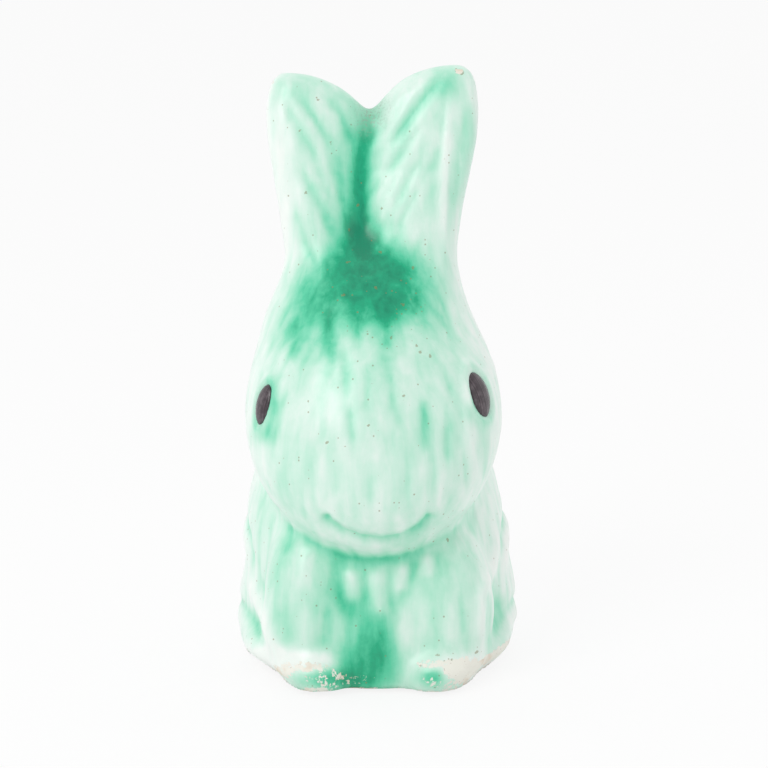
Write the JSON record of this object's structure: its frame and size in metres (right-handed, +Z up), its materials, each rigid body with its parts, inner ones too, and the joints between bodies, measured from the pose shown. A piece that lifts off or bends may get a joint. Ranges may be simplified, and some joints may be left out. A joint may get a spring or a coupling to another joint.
{
  "type": "ceramic rabbit figurine",
  "caption": "Hollow slip-cast rabbit sitting upright, ears joined side by side, with a pooled glaze coat, dark set-in eyes, a bare flat foot and a pour hole underneath.",
  "frame": {"origin": "on the foot plane, under the middle of the overall box", "axes": "+Z up to the ear tips, -Y the way the rabbit faces, +X towards its own left side"},
  "size_m": [0.0478, 0.06, 0.1],
  "materials": {
    "clay": "bare matt biscuit, seen at the foot",
    "glaze": "satin celadon green, darker where it pools",
    "eye_glaze": "glossy dark brown"
  },
  "bodies": {
    "root": {"clay_body": "clay", "glaze_coat": "glaze", "left_eye": "eye_glaze", "right_eye": "eye_glaze"}
  },
  "joints": []
}
